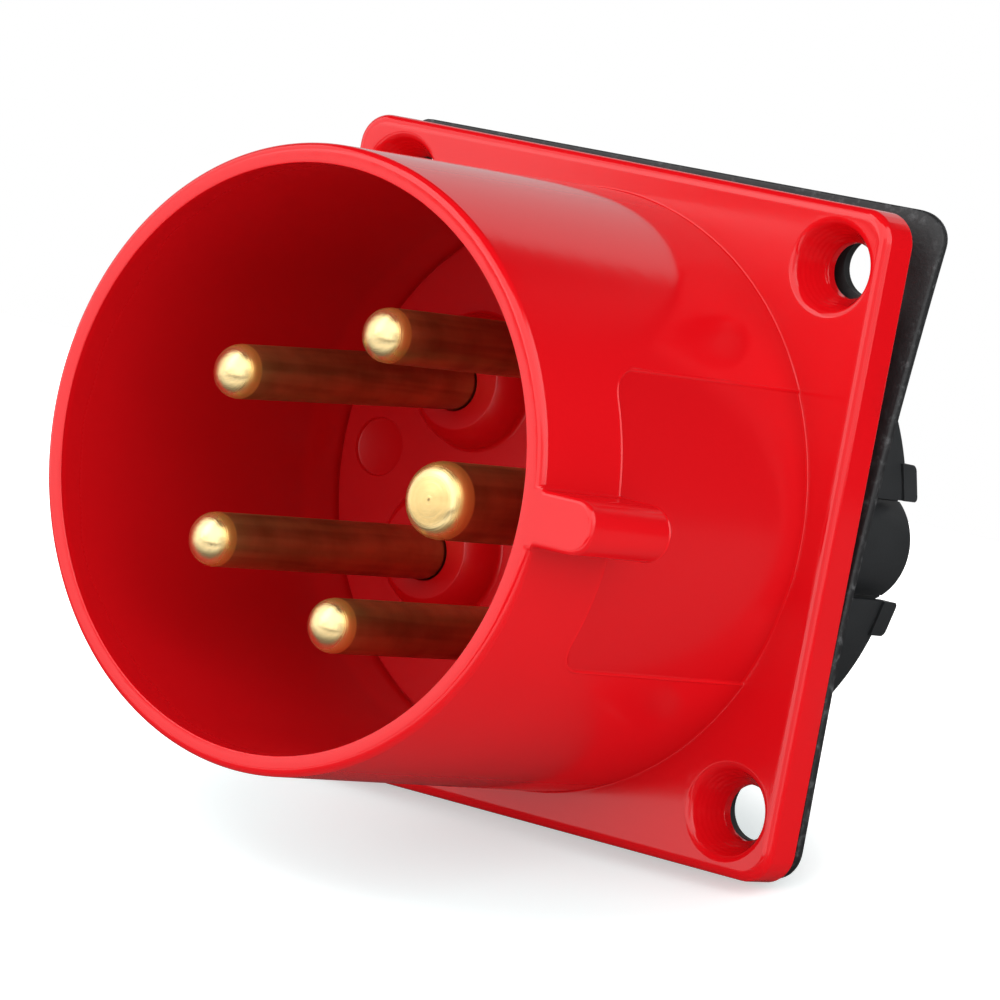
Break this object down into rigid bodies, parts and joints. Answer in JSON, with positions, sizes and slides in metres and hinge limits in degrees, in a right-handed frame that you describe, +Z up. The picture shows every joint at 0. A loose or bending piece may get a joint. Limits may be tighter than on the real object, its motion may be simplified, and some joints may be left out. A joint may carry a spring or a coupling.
{
  "type": "panel mount plug",
  "caption": "Round-shrouded industrial power plug on a square gasketed flange, with a key on the rim, brass contact pins and rear screw terminals, for fixing to a panel.",
  "frame": {"origin": "centre of the fixing holes, on the gasket face that meets the panel", "axes": "-Y out of the mouth, +Y into the panel, +X towards the key, +Z up as in the picture"},
  "size_m": [0.0655, 0.0722, 0.0624],
  "materials": {
    "red_plastic": "semi-gloss moulded",
    "gasket_rubber": "matt",
    "black_plastic": "satin moulded",
    "brass": "turned",
    "screw_steel": "zinc plated"
  },
  "bodies": {
    "plug": {"housing": "red_plastic", "flange_gasket": "gasket_rubber", "contact_carrier": "black_plastic", "earth_pin": "brass", "line_1_pin": "brass", "line_2_pin": "brass", "line_3_pin": "brass", "neutral_pin": "brass"},
    "earth_clamp": {"earth_screw": "screw_steel"},
    "line_1_clamp": {"line_1_screw": "screw_steel"},
    "line_2_clamp": {"line_2_screw": "screw_steel"},
    "line_3_clamp": {"line_3_screw": "screw_steel"},
    "neutral_clamp": {"neutral_screw": "screw_steel"}
  },
  "joints": [
    {"name": "earth_clamp_travel", "type": "slide", "parent": "plug", "child": "earth_clamp", "axis": [-1, 0, 0], "range_m": [0, 0.0025]},
    {"name": "line_1_clamp_travel", "type": "slide", "parent": "plug", "child": "line_1_clamp", "axis": [-0.309, 0, -0.9511], "range_m": [0, 0.0025]},
    {"name": "line_2_clamp_travel", "type": "slide", "parent": "plug", "child": "line_2_clamp", "axis": [0.809, 0, -0.5878], "range_m": [0, 0.0025]},
    {"name": "line_3_clamp_travel", "type": "slide", "parent": "plug", "child": "line_3_clamp", "axis": [0.809, 0, 0.5878], "range_m": [0, 0.0025]},
    {"name": "neutral_clamp_travel", "type": "slide", "parent": "plug", "child": "neutral_clamp", "axis": [-0.309, 0, 0.9511], "range_m": [0, 0.0025]}
  ]
}
